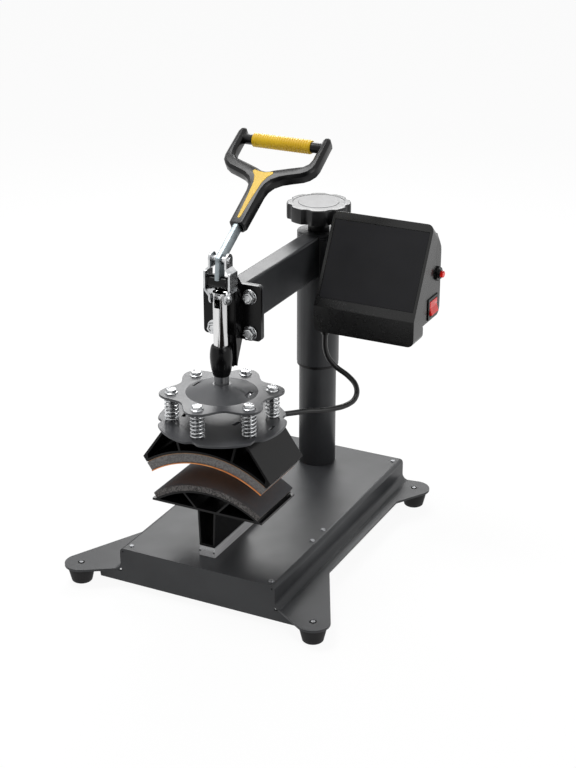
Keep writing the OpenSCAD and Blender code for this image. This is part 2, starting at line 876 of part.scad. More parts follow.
// Half outline of the Y-shaped grip, across and along the lever
grip_half = [
    [0, 51], [9, 51], [10.5, 53], [11, 105], [12.5, 114], [17, 122], [25, 128], [35, 132],
    [49, 137], [56.5, 142], [61.5, 149], [63.3, 157], [63, 198], [61, 202.5], [57.5, 204.5],
    [54.2, 203.5], [52.4, 200], [52, 166], [50, 158.5], [45, 153.5], [30, 148.5], [12, 142],
    [6, 139], [0, 138]
];
grip_t = 17;

// Closed outline from its right half, which starts and ends on the middle line
function both_sides(half) = concat(
    half, [for (i = [len(half) - 2 : -1 : 1]) [-half[i][0], half[i][1]]]
);

module grip_frame() {
    color("#242425") on_lever() difference() {
        translate([0, 0, -grip_t / 2]) linear_extrude(height = grip_t) polygon(both_sides(grip_half));
        translate([-3.05, 30, -6.8]) cube([6.1, 83, 13.6]);
        translate([0, 0, grip_t / 2 - 1.2]) linear_extrude(height = 3) inlay_2d(0.15);
        translate([-60.5, lever_l, 0]) rotate([0, 90, 0]) cylinder(r = 6.65, h = 121);
    }
}

module inlay_2d(grow) {
    half = [
        [0, 58], [1.9, 60], [3.4, 92], [5.4, 117], [9, 127.5], [14, 133.4], [12.2, 136.4],
        [6, 134.6], [0, 133.8]
    ];
    polygon(both_sides([for (p = half) [p[0] > 0 ? p[0] + grow : 0, p[1]]]));
}

module grip_inlay() {
    color("#f0b90f") on_lever() translate([0, 0, grip_t / 2 - 1.15]) {
        linear_extrude(height = 1.6) inlay_2d(0);
    }
}

module grip_rod() {
    color("#1e1e20") on_lever() {
        translate([-60.4, lever_l, 0]) rotate([0, 90, 0]) cylinder(r = 6.6, h = 120.8);
    }
}

sleeve_half = 39.5;
sleeve_ribs = 24;

// Ribbed rubber sleeve on the rod
module grip_sleeve() {
    pitch = 2 * sleeve_half / sleeve_ribs;
    color("#f0b90f") on_lever() translate([0, lever_l, 0]) rotate([0, 90, 0]) {
        rotate_extrude() polygon(concat(
            [[6.65, -sleeve_half], [8, -sleeve_half]],
            [for (k = [0 : sleeve_ribs - 1], j = [0, 1])
                [j == 0 ? 8.8 : 8.35, -sleeve_half + (k + 0.3 + 0.4 * j) * pitch]],
            [[8, sleeve_half], [6.65, sleeve_half]]
        ));
    }
}

// Link plates: straight middles outside the bracket's cheeks, ends set inwards
module toggle_links() {
    span = pin_z - plunger_pin_z;
    lean = atan2(pin_y, span);
    color("#c6c7c8") at_head() difference() {
        translate([0, 0, plunger_pin_z]) rotate([-lean, 0, 0]) mirror_x() intersection() {
            along_y(-12, 24) polygon([
                [9.3, -9], [11.8, -9], [11.8, 2.6], [17.8, 8.6], [17.8, 33], [12.2, 38.4],
                [12.2, 58], [9.7, 58], [9.7, 37.4], [15.3, 31.8], [15.3, 9.6], [9.3, 3.6]
            ]);
            along_x(5, 20) {
                circle(r = 8);
                bar_2d([0, 0], [0, span], 16);
                translate([0, span]) circle(r = 8);
                translate([0, 22]) soft_rect(19, 24, 3);
            }
        }
        pin_x(4.05, 40, pin_y, pin_z);
    }
    color("#d4d5d6") at_head() mirror_x() {
        translate([11.82, 0, plunger_pin_z]) rotate([0, 90, 0]) cylinder(r1 = 5.2, r2 = 3.6, h = 2);
    }
}

// Plunger with a forked top
module plunger() {
    color("#cfd0d2") at_head() difference() {
        union() {
            translate([0, 0, dome_top + 0.1]) cylinder(r = plunger_r, h = 371.1 - dome_top - 0.1, $fn = fine);
            translate([0, 0, 254.5]) cylinder(r = 5, h = dome_top - 254);
            intersection() {
                pin_x(8, 18, 0, plunger_pin_z);
                translate([0, 0, 360]) cylinder(r = plunger_r, h = 40, $fn = fine);
            }
            intersection() {
                translate([-9, -8, 366]) cube([18, 16, 14]);
                translate([0, 0, 360]) cylinder(r = plunger_r, h = 40, $fn = fine);
            }
        }
        translate([-4, -20, 369]) cube([8, 40, 30]);
        pin_x(3.52, 40, 0, plunger_pin_z);
    }
}

module plunger_pin() {
    color("#dcdddf") at_head() pin_x(3.5, 18.2, 0, plunger_pin_z);
}

function star_r(a) = 67 + 9 * cos(bolt_n * (a - 90));
function lower_r(a) = 79 - 5.5 * pow(max(0, cos(bolt_n * (a - 90))), 8);

module bolt_places() {
    for (k = [0 : bolt_n - 1]) rotate(90 + k * 360 / bolt_n) translate([bolt_circle / 2, 0, 0]) children();
}

module star_plate() {
    color("#77787a") at_head() difference() {
        union() {
            translate([0, 0, spring_high]) linear_extrude(height = star_top - spring_high) {
                polygon([for (a = [0 : 3 : 357]) polar(star_r(a), a)]);
            }
            translate([0, 0, star_top - 0.5]) {
                cylinder(r1 = 45.6, r2 = 11, h = dome_top - star_top + 0.5, $fn = fine);
            }
        }
        translate([0, 0, spring_high - 0.6]) {
            cylinder(r1 = 45.9, r2 = 11, h = dome_top - 3 - spring_high + 0.6, $fn = fine);
        }
        translate([0, 0, 240]) cylinder(r = 5.05, h = 40);
        bolt_places() translate([0, 0, 240]) cylinder(r = bolt_shank_r + 0.3, h = 30);
        for (a = [3, 177]) {
            rotate(a) translate([34, -7.5, spring_high - 2]) cube([4, 15, 16]);
        }
    }
}

module plunger_nut() {
    color("#b9babc") at_head() translate([0, 0, dome_top - 3.05 - 9]) difference() {
        cylinder(r = 9.2, h = 9, $fn = 6);
        translate([0, 0, -1]) cylinder(r = 5.05, h = 12);
    }
}

module spring_plate() {
    color("#5a5b5d") at_head() difference() {
        translate([0, 0, lower_bot]) linear_extrude(height = spring_low - lower_bot) {
            polygon([for (a = [0 : 2 : 358]) polar(lower_r(a), a)]);
        }
        bolt_places() translate([0, 0, lower_bot - 1]) cylinder(r = bolt_shank_r + 0.02, h = 6);
        for (p = [[-12, 20], [191, 46], [3, 63]]) {
            rotate(p[0]) translate([p[1], -6, lower_bot - 1]) cube([4.5, 12, 6]);
        }
    }
}

module head_bolts() {
    color("#c9cacc") at_head() bolt_places() {
        translate([0, 0, star_top + 0.1]) cylinder(r = 8, h = 1.3);
        translate([0, 0, star_top + 1.3]) cylinder(r = 7.2, h = 3.8, $fn = 6);
        translate([0, 0, lower_bot + 0.1]) cylinder(r = bolt_shank_r, h = star_top + 2 - lower_bot);
    }
}

// Centre line of a head spring: closed at both ends, open between
spring_r = spring_d / 2 - wire_d / 2;
end_pitch = wire_d + 0.75;
spring_room = spring_high - spring_low - wire_d - 0.2;
open_pitch = (spring_room - 2 * end_pitch) / (spring_turns - 2);
function spring_rise(t) =
    t < 1 ? t * end_pitch
    : t > spring_turns - 1 ? spring_room - (spring_turns - t) * end_pitch
    : end_pitch + (t - 1) * open_pitch;
rings = 8;
spring_path = [
    for (i = [0 : spring_turns * rings])
        let (a = 360 * i / rings)
        [
            spring_r * cos(a), spring_r * sin(a),
            spring_low + wire_d / 2 + 0.1 + spring_rise(i / rings)
        ]
];
spring_gap = min([
    for (i = [0 : len(spring_path) - 1], j = [0 : len(spring_path) - 1])
        if (j - i > rings / 2) norm(spring_path[j] - spring_path[i]) - wire_d
]);
echo(least_gap_in_spring = spring_gap);

module head_springs() {
    start = unit([0, 1, end_pitch / (2 * PI * spring_r)]);
    color("#d2d3d5") at_head() bolt_places() {
        tube(spring_path, wire_d / 2, 6, start, start, [1, 0, 0]);
    }
}

// Heater: folded housing over a curved block, mat and sheet
module housing_section() {
    tip = tip_r * [sin(half_angle), cos(half_angle)] + [0, heat_z];
    low_tip = housing_in * [sin(half_angle), cos(half_angle)] + [0, heat_z];
    difference() {
        polygon([
            [-housing_x, housing_top], [housing_x, housing_top], tip, low_tip,
            [0, heat_z], [-low_tip[0], low_tip[1]], [-tip[0], tip[1]]
        ]);
        translate([0, heat_z]) circle(r = housing_in, $fn = fine);
        housing_cells();
    }
}

module housing_cells() {
    difference() {
        union() {
            polygon([[-41, 216.9], [41, 216.9], [31, 180], [-31, 180]]);
            mirror_2d() polygon([[44.2, 216.9], [53.4, 216.9], [81, 177.2], [79.5, 168], [34.2, 180]]);
        }
        translate([0, heat_z]) circle(r = housing_in + web_t, $fn = fine);
    }
}

module heater_run() {
    at_head() along_y(-platen_l / 2, platen_l) children();
}

module heater_housing() {
    color("#1c1c1d") heater_run() housing_section();
}

module heater_block() {
    color("#6b6765") heater_run() arc_slice(heat_z, block_in, block_out, half_angle);
}

module heating_mat() {
    color("#8d6a4a") heater_run() arc_slice(heat_z, block_out + 0.05, mat_out, half_angle - 1);
}

module heater_sheet() {
    color("#d98a4e") at_head() along_y(-platen_l / 2 - 1, platen_l + 2) {
        arc_slice(heat_z, face_r, face_r + sheet_face_t, half_angle);
    }
}

module heater_gland() {
    end = cable_route[len(cable_route) - 1];
    color("#171717") at_post() difference() {
        union() {
            along_y(-reach + platen_l / 2 + 0.02, 2) polygon([
                [-43, 218.5], [43, 218.5], [37, 191], [20, 193.3], [0, 194.3], [-20, 193.3], [-37, 191]
            ]);
            pin_y(7, 4.5, end[0], end[1] - 7, end[2]);
            translate([end[0], end[1] - 2.5, end[2]]) rotate([-90, 0, 0]) {
                cylinder(r1 = 7, r2 = 5, h = 2.5);
            }
        }
        pin_y(3.2, 8, end[0], end[1] - 8.5, end[2]);
    }
}

module heater_cable() {
    color("#151515") at_post() {
        tube(smooth_path(cable_route, cable_steps), cable_d / 2, cable_sides,
            [0, 0, -1], [0, -1, 0], [1, 0, 0]);
    }
}

base_plate();
rubber_feet();
foot_screws();
post();
post_bolt();
lead_nut();
platen_rail();
rail_end_cover();
rail_screws();
plate_screws();
platen_support();
platen_pad();
platen_slider();
sleeve_bushes();
thrust_washer();
knob();
knob_stem();
lead_screw();
swing_sleeve();
sleeve_cap();
arm_beam();
arm_end_plate();
clamp_bracket();
plunger_guide();
bracket_bolts();
bracket_nuts();
pivot_pin();
box_bracket();
box_bezel();
box_rear_shell();
display_panel();
control_board();
heater_relay();
switch_frame();
breaker_body();
power_inlet();
box_screws();
box_gland();
lever();
link_pin();
grip_frame();
grip_inlay();
grip_rod();
grip_sleeve();
toggle_links();
plunger();
plunger_pin();
star_plate();
plunger_nut();
spring_plate();
head_bolts();
head_springs();
heater_housing();
heater_block();
heating_mat();
heater_sheet();
heater_gland();
rocker();
reset_button();
heater_cable();
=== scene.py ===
"""Cap heat press with its arm in line, the toggle handle up and the heater just above the platen."""
import json
import math

import bmesh
import bpy
from mathutils import Matrix, Vector


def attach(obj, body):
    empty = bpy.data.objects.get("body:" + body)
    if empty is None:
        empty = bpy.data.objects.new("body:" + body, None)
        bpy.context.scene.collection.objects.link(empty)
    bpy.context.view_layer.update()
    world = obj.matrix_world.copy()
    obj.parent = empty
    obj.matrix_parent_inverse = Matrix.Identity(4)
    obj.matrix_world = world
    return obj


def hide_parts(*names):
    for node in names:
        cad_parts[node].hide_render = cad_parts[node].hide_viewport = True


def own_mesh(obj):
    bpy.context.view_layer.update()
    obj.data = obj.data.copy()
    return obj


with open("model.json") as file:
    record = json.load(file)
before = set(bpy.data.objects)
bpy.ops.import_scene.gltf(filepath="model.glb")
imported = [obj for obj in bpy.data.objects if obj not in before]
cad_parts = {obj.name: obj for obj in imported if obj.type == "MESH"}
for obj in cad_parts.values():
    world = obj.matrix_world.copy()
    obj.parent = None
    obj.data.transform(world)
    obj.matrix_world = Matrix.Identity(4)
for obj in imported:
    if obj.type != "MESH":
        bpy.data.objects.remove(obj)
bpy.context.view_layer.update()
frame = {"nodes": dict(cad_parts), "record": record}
nodes = frame["nodes"]

MM = 0.001
SAME_PLACE = 1e-6

# Driving sizes in millimetres and degrees. Heights are above the bench.
POST_Y = 158.5
REACH = 268.5
PIVOT_Y, PIVOT_Z = -1.5, 400.0
CRANK_L, CRANK_LEAN = 27.2, 6.3
LEVER_SLOPE = 31.3
BOX_TILT = 61.7
GLASS_FOOT = (-90.8, 329.4)
GLASS_W, GLASS_H, GLASS_GAP = 128.4, 102.0, 0.3

HEAD_Y = POST_Y - REACH
LINK_PIN = Vector((0, PIVOT_Y + CRANK_L * math.sin(math.radians(CRANK_LEAN)),
                   PIVOT_Z + CRANK_L * math.cos(math.radians(CRANK_LEAN))))


def turned(degrees, axis):
    """A turn about an axis through the origin."""
    return Matrix.Rotation(math.radians(degrees), 4, axis)


def across_from(x):
    """Stand an outline that is drawn as Y and Z upright, so that it is raised to the right from x."""
    return Matrix.Translation((x, 0, 0)) @ turned(90, "Z") @ turned(90, "X")


AS_DRAWN = Matrix.Identity(4)
AT_POST = Matrix.Translation((0, POST_Y, 0))
AT_HEAD = Matrix.Translation((0, HEAD_Y, 0))
ON_LEVER = AT_HEAD @ Matrix.Translation(LINK_PIN) @ turned(LEVER_SLOPE, "X")
ON_GLASS = AT_POST @ Matrix.Translation((0, *GLASS_FOOT)) @ turned(BOX_TILT, "X")


# Camera and heater cable

CAMERA_PLACE = (906, -1907, 1067)
CAMERA_DOWN, CAMERA_TURN = 23.1, 26.5
CAMERA_LENS, CAMERA_SENSOR = 79.2, 36


def place_camera():
    """Stand where the photograph was taken: in front, to the right and well above the machine."""
    data = bpy.data.cameras.new("photo_camera")
    camera = bpy.data.objects.new("photo_camera", data)
    bpy.context.scene.collection.objects.link(camera)
    data.sensor_width = CAMERA_SENSOR
    data.lens = CAMERA_LENS
    data.clip_start, data.clip_end = 0.05, 40
    camera.location = (AT_POST @ Vector(CAMERA_PLACE)) * MM
    camera.rotation_euler = (math.radians(90 - CAMERA_DOWN), 0, math.radians(CAMERA_TURN))
    bpy.context.scene.camera = camera


place_camera()

# The heater cable's route, in millimetres from the post's axis: down out of the box, round and into the head
CABLE_D = 7
CABLE_STEPS = 6
CABLE_ROUTE = [
    (47, -77, 275), (47, -77, 257), (51, -75, 242), (61, -71, 229),
    (75, -69, 220), (88, -73, 212), (96, -84, 205), (98, -99, 200),
    (93, -115, 198), (84, -129, 198), (73, -143, 199), (61, -156, 201),
    (50, -170, 202), (39, -184, 203), (31, -199, 204), (26, -216, 204),
]


def smooth_route(route, steps):
    """Points in metres on the smooth curve through a route's points."""
    points = [Vector(p) for p in route]
    last = len(points) - 1
    line = []
    for i in range(last):
        a, b, c, d = points[max(i - 1, 0)], points[i], points[i + 1], points[min(i + 2, last)]
        for k in range(steps):
            f = k / steps
            line.append(0.5 * (2 * b + (c - a) * f + (2 * a - 5 * b + 4 * c - d) * f * f
                               + (3 * b - a - 3 * c + d) * f ** 3))
    line.append(points[last])
    return [(AT_POST @ p) * MM for p in line]


def curve_tube(name, runs, radius, roundness):
    """One curve object with a round section along each run of points."""
    data = bpy.data.curves.new(name, "CURVE")
    data.dimensions = "3D"
    data.bevel_depth = radius
    data.bevel_resolution = roundness
    data.use_fill_caps = True
    for run in runs:
        spline = data.splines.new("POLY")
        spline.points.add(len(run) - 1)
        for point, place in zip(spline.points, run):
            point.co = (*place, 1)
        spline.use_smooth = True
    obj = bpy.data.objects.new(name, data)
    bpy.context.scene.collection.objects.link(obj)
    return obj


def to_mesh(obj):
    """Turn a curve object into a mesh object of the same name."""
    graph = bpy.context.evaluated_depsgraph_get()
    mesh = bpy.data.meshes.new_from_object(obj.evaluated_get(graph))
    name = obj.name
    bpy.data.objects.remove(obj)
    made = bpy.data.objects.new(name, mesh)
    bpy.context.scene.collection.objects.link(made)
    return made


cable_line = smooth_route(CABLE_ROUTE, CABLE_STEPS)
heater_cable = to_mesh(curve_tube("heater_cable_run", [cable_line], CABLE_D / 2 * MM, 6))
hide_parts("heater_cable")
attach(heater_cable, "arm")


# Finishes

def linear(code):
    """sRGB hex to the linear colour that the shaders take."""
    parts = [int(code[i:i + 2], 16) / 255 for i in (1, 3, 5)]
    return tuple(p / 12.92 if p <= 0.04045 else ((p + 0.055) / 1.055) ** 2.4 for p in parts) + (1.0,)


def add(tree, kind, links=None, **settings):
    """Add a node, set its properties or sockets, and link its inputs."""
    node = tree.nodes.new("ShaderNode" + kind)
    for name, value in settings.items():
        if hasattr(node, name):
            setattr(node, name, value)
        else:
            node.inputs[name.replace("_", " ")].default_value = value
    for socket, source in (links or {}).items():
        tree.links.new(source, node.inputs[socket])
    return node


def start_material(name, colour, roughness, metallic=0.0, **shader):
    """A new material, with its node tree, its shader and the piece's own coordinates."""
    material = bpy.data.materials.new(name)
    material.use_nodes = True
    tree = material.node_tree
    surface = tree.nodes["Principled BSDF"]
    surface.inputs["Base Color"].default_value = linear(colour)
    surface.inputs["Roughness"].default_value = roughness
    surface.inputs["Metallic"].default_value = metallic
    for socket, value in shader.items():
        surface.inputs[socket.replace("_", " ")].default_value = value
    place = add(tree, "TexCoord").outputs["Object"]
    return material, tree, surface, place


def per_mm(size):
    """Texture scale, in repeats per metre, of a feature of that size in millimetres."""
    return 1 / (size * MM)


def mottle(tree, surface, place, dark, light, size, low=0.35, high=0.65, detail=3.0):
    """Vary the colour between two hex values in soft patches of that size."""
    noise = add(tree, "TexNoise", {"Vector": place}, Scale=per_mm(size), Detail=detail)
    ramp = add(tree, "ValToRGB", {"Fac": noise.outputs["Fac"]})
    ramp.color_ramp.elements[0].position, ramp.color_ramp.elements[1].position = low, high
    ramp.color_ramp.elements[0].color, ramp.color_ramp.elements[1].color = linear(dark), linear(light)
    tree.links.new(ramp.outputs["Color"], surface.inputs["Base Color"])


def vary_roughness(tree, surface, place, low, high, size):
    """Let the gloss come and go between two values in patches of that size."""
    noise = add(tree, "TexNoise", {"Vector": place}, Scale=per_mm(size), Detail=4.0)
    spread = add(tree, "MapRange", {"Value": noise.outputs["Fac"]}, To_Min=low, To_Max=high)
    tree.links.new(spread.outputs["Result"], surface.inputs["Roughness"])


def grain(tree, surface, place, size, strength, depth_mm, **noise):
    """Raise a fine uneven grain of that size and depth on the surface."""
    rough = add(tree, "TexNoise", {"Vector": place}, Scale=per_mm(size), **noise)
    raised = add(tree, "Bump", {"Height": rough.outputs["Fac"]}, Strength=strength, Distance=depth_mm * MM)
    tree.links.new(raised.outputs["Normal"], surface.inputs["Normal"])


def powder_coat(name, dark, light, roughness, grain_mm=0.9, **shader):
    """Baked powder coat: a satin film with a fine orange-peel skin and a faint cloudiness."""
    material, tree, surface, place = start_material(name, light, roughness, **shader)
    mottle(tree, surface, place, dark, light, 70)
    vary_roughness(tree, surface, place, roughness - 0.05, roughness + 0.06, 25)
    grain(tree, surface, place, grain_mm, 0.3, 0.05, Detail=2.0)
    return material


def plated_steel(name, dark, light, low, high, streak=(1.0, 1.0, 1.0), smudge_mm=9.0, depth_mm=0.015):
    """Zinc-plated steel: bright grey metal whose shine comes and goes in small smudges."""
    material, tree, surface, place = start_material(name, light, low, metallic=1.0)
    along = add(tree, "Mapping", {"Vector": place}, Scale=streak).outputs["Vector"]
    mottle(tree, surface, along, dark, light, smudge_mm)
    vary_roughness(tree, surface, along, low, high, 5)
    grain(tree, surface, along, 1.2, 0.15, depth_mm, Detail=3.0)
    return material


def drawn_aluminium(name, dark, light, roughness, metallic=1.0):
    """Extruded aluminium: fine die lines that run the length of the section, along Y."""
    material, tree, surface, place = start_material(name, light, roughness, metallic=metallic)
    along = add(tree, "Mapping", {"Vector": place}, Scale=(1.0, 0.02, 1.0)).outputs["Vector"]
    mottle(tree, surface, along, dark, light, 1.6)
    vary_roughness(tree, surface, along, roughness - 0.05, roughness + 0.08, 3)
    grain(tree, surface, along, 0.7, 0.3, 0.05, Detail=3.0)
    return material


def cast_aluminium(name, dark, light, roughness):
    """Sand-cast and faced aluminium: dull grey with a coarse light and dark speckle of pores."""
    material, tree, surface, place = start_material(name, light, roughness, metallic=0.35)
    mottle(tree, surface, place, dark, light, 1.5, 0.38, 0.62, 6.0)
    grain(tree, surface, place, 1.1, 0.4, 0.15, Detail=5.0)
    return material


def moulded(name, dark, light, roughness, grain_mm=0.5, depth_mm=0.04, **shader):
    """Injection moulding: spark-eroded grain from the tool over an even colour."""
    material, tree, surface, place = start_material(name, light, roughness, **shader)
    mottle(tree, surface, place, dark, light, 30)
    grain(tree, surface, place, grain_mm, 0.4, depth_mm, Detail=3.0, Roughness=0.7)
    vary_roughness(tree, surface, place, roughness - 0.04, roughness + 0.05, 12)
    return material


def sponge(name, dark, light, cell_mm, low, high, depth_mm):
    """Silicone sponge sheet: matt warm grey, with small cells on its skin and torn ones on a cut edge."""
    material, tree, surface, place = start_material(name, light, 0.92, Specular_IOR_Level=0.2)
    mottle(tree, surface, place, dark, light, cell_mm, low, high, 5.0)
    grain(tree, surface, place, cell_mm, 0.6, depth_mm, Detail=4.0)
    return material


# A wave texture repeats about six times in one unit, so this gives threads 1 mm apart
WEAVE_REPEAT = 6.3


def coated_cloth(name, dark, light, roughness):
    """Glass cloth coated with a smooth release film: a plain weave of about 1 mm shows through."""
    material, tree, surface, place = start_material(name, light, roughness)
    mottle(tree, surface, place, dark, light, 18)
    warp = add(tree, "TexWave", {"Vector": place}, bands_direction="X", Scale=per_mm(WEAVE_REPEAT),
               Distortion=0.4)
    weft = add(tree, "TexWave", {"Vector": place}, bands_direction="Y", Scale=per_mm(WEAVE_REPEAT),
               Distortion=0.4)
    both = add(tree, "Math", {0: warp.outputs["Fac"], 1: weft.outputs["Fac"]}, operation="MULTIPLY")
    raised = add(tree, "Bump", {"Height": both.outputs["Value"]}, Strength=0.25, Distance=0.08 * MM)
    tree.links.new(raised.outputs["Normal"], surface.inputs["Normal"])
    return material


# One finish for each material slot of the record, one for the lever's dull bar and one for the sponge's edge
finishes = {
    "base_paint": powder_coat("powder_coated_sheet_steel", "#2a2b2d", "#333436", 0.4,
                              Specular_IOR_Level=0.3),
    "sheet_paint": powder_coat("satin_grey_plate", "#3c3d40", "#48494b", 0.38, 0.7, Specular_IOR_Level=0.35),
    "black_paint": powder_coat("black_stoved_paint", "#060607", "#0b0b0c", 0.22, 1.2,
                               Specular_IOR_Level=0.2),
    "zinc_steel": plated_steel("zinc_plated_steel", "#b4b6b8", "#dcddde", 0.16, 0.34),
    "lever_zinc": plated_steel("dull_zinc_bar", "#8e979b", "#a3acb0", 0.42, 0.55, (1.0, 1.0, 1.0), 14.0),
    "ground_steel": plated_steel("ground_steel_bar", "#c6c6c7", "#e6e6e6", 0.1, 0.18,
                                 (1.0, 1.0, 0.05), 9.0, 0.005),
    "dark_steel": plated_steel("oiled_steel", "#6a6b6d", "#828385", 0.3, 0.45),
    "aluminium_rail": drawn_aluminium("mill_finish_aluminium", "#c6c6c8", "#dcdcdd", 0.4, 0.25),
    "block_metal": cast_aluminium("cast_heater_aluminium", "#565453", "#7b7978", 0.6),
    "bronze": plated_steel("sintered_bronze", "#9a7338", "#bd9350", 0.35, 0.5),
    "rubber": moulded("moulded_rubber", "#0e0e0f", "#171617", 0.7, 1.0, 0.08, Specular_IOR_Level=0.3),
    "pad_foam": sponge("silicone_sponge_skin", "#414245", "#515255", 0.9, 0.3, 0.7, 0.12),
    "pad_edge": sponge("silicone_sponge_cut", "#333131", "#6f6c6a", 1.3, 0.4, 0.62, 0.5),
    "grip_black": moulded("grip_polypropylene", "#09090a", "#101011", 0.28, 0.8, 0.03,
                          Specular_IOR_Level=0.25),
    "grip_yellow": moulded("yellow_elastomer", "#d0a600", "#deb704", 0.46, 0.9, 0.04),
    "box_plastic": moulded("grained_abs", "#0a0a0a", "#101010", 0.27, 0.8, 0.02, Specular_IOR_Level=0.45),
    "black_plastic": moulded("black_nylon", "#080809", "#0e0e0e", 0.32, 0.6, 0.03, Specular_IOR_Level=0.25),
    "knob_plastic": moulded("knob_phenolic", "#0e0e10", "#161618", 0.34, 1.0, 0.05, Specular_IOR_Level=0.4),
    "display_gloss": moulded("smoked_acrylic", "#222224", "#242426", 0.3, 3.0, 0.002,
                             Specular_IOR_Level=0.12),
    "board_green": moulded("solder_mask", "#245a30", "#2f6b3c", 0.35),
    "relay_blue": moulded("relay_case", "#2d4154", "#384f63", 0.4),
    "red_plastic": moulded("red_polycarbonate", "#d81510", "#f02018", 0.2, 1.5, 0.01),
    "heater_mat": coated_cloth("glass_cloth_mat", "#7c5c3f", "#94714f", 0.6),
    "heater_face": coated_cloth("release_cloth", "#dd8038", "#f0a25c", 0.42),
    "cable_sheath": moulded("cable_pvc", "#0b0b0c", "#131313", 0.34, 1.2, 0.03, Specular_IOR_Level=0.4),
}

slot_of = {row["node"]: row["material_slot"] for row in frame["record"]["subparts"]}
finish_of = {"plate_screws": "dark_steel", "foot_screws": "dark_steel"}


def dress(obj, finish):
    """Give a piece its finish in every material slot."""
    if not obj.data.materials:
        obj.data.materials.append(None)
    for slot in obj.material_slots:
        slot.material = finishes[finish]


def soften(obj, width_mm):
    """Break a solid's sharp edges, as deburring, paint or a mould does."""
    weld = obj.modifiers.new("join", "WELD")
    weld.merge_threshold = SAME_PLACE
    bevel = obj.modifiers.new("edges", "BEVEL")
    bevel.width = width_mm * MM
    bevel.segments = 2
    bevel.limit_method = "ANGLE"
    bevel.angle_limit = math.radians(32)
    bevel.use_clamp_overlap = True
    bevel.harden_normals = True


# How wide each solid's edges are broken, in millimetres
EDGE = {
    "base_plate": 0.6, "platen_support": 0.35, "platen_rail": 0.25, "rail_end_cover": 0.3, "sleeve_cap": 0.9,
    "arm_beam": 0.5, "arm_end_plate": 0.6, "clamp_bracket": 0.7, "bracket_nuts": 0.4, "box_bracket": 0.6,
    "box_rear_shell": 1.2, "switch_frame": 0.5, "breaker_body": 0.4, "display_panel": 0.3,
    "link_pin": 0.5, "grip_inlay": 0.5, "grip_rod": 0.8, "toggle_links": 0.7, "plunger_pin": 0.5,
    "star_plate": 0.5, "spring_plate": 0.5, "heater_housing": 0.35, "heater_block": 0.3, "heater_gland": 0.4,
    "rocker": 0.6, "power_inlet": 0.6, "post": 0.5, "swing_sleeve": 0.6, "plunger": 0.4, "knob_stem": 0.6,
    "rubber_feet": 0.8,
}

for name, obj in nodes.items():
    dress(obj, finish_of.get(name, slot_of[name]))
    if name in EDGE:
        soften(obj, EDGE[name])
dress(heater_cable, "cable_sheath")


# Pieces that stand for plainer solids

def shape(bm, place, sharp=38):
    """Turn a shape drawn in millimetres into a mesh in metres, with its round faces shaded smooth."""
    bmesh.ops.transform(bm, matrix=Matrix.Scale(MM, 4) @ place, verts=bm.verts)
    bmesh.ops.remove_doubles(bm, verts=bm.verts, dist=SAME_PLACE)
    bmesh.ops.recalc_face_normals(bm, faces=bm.faces)
    mesh = bpy.data.meshes.new("shape")
    bm.to_mesh(mesh)
    bm.free()
    for face in mesh.polygons:
        face.use_smooth = True
    mesh.set_sharp_from_angle(angle=math.radians(sharp))
    return mesh


def piece(name, mesh, finish, body, *stands_for, slot=None):
    """Show a mesh as a piece that rides a body and stands for CAD nodes."""
    mesh.name = name
    obj = bpy.data.objects.new(name, mesh)
    bpy.context.scene.collection.objects.link(obj)
    dress(obj, finish)
    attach(obj, body)
    if stands_for:
        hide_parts(*stands_for)
    return obj


def spin_profile(bm, profile, steps, place=AS_DRAWN):
    """Turn a half section, given as radius and height, all the way round the Z axis."""
    others = set(bm.verts)
    section = [bm.verts.new((r, 0, z)) for r, z in profile]
    lines = [bm.edges.new(pair) for pair in zip(section, section[1:])]
    bmesh.ops.spin(bm, geom=section + lines, cent=(0, 0, 0), axis=(0, 0, 1), angle=math.tau,
                   steps=steps, use_merge=True, use_duplicate=False)
    bmesh.ops.remove_doubles(bm, verts=[v for v in bm.verts if v not in others], dist=1e-4)
    bmesh.ops.transform(bm, matrix=place, verts=[v for v in bm.verts if v not in others])


def prism(bm, outline, height, place=AS_DRAWN):
    """Raise a flat outline by a height, and return its foot and its top."""
    foot = bm.faces.new([bm.verts.new((x, y, 0)) for x, y in outline])
    raised = bmesh.ops.extrude_face_region(bm, geom=[foot], use_keep_orig=True)["geom"]
    verts = [v for v in raised if isinstance(v, bmesh.types.BMVert)]
    bmesh.ops.translate(bm, vec=(0, 0, height), verts=verts)
    top = next(f for f in raised if isinstance(f, bmesh.types.BMFace))
    bmesh.ops.transform(bm, matrix=place, verts=list(foot.verts) + verts)
    return foot, top


def round_edges(bm, edges, width, segments):
    """Round these edges over a width."""
    bmesh.ops.bevel(bm, geom=edges, offset=width, offset_type="OFFSET", segments=segments, profile=0.5,
                    affect="EDGES", clamp_overlap=True, material=-1)


def sharp_edges(bm, degrees):
    """The edges where two faces meet at more than an angle."""
    return [e for e in bm.edges if len(e.link_faces) == 2 and e.calc_face_angle() > math.radians(degrees)]


def runs_along(edge, axis):
    """Whether an edge runs along X, Y or Z, given as 0, 1 or 2."""
    way = edge.verts[1].co - edge.verts[0].co
    return abs(way[axis]) > 1e-5 and abs(way.length - abs(way[axis])) < 1e-5


# How far each flange bolt's hexagon is turned, in degrees
HEX_TURN = 12


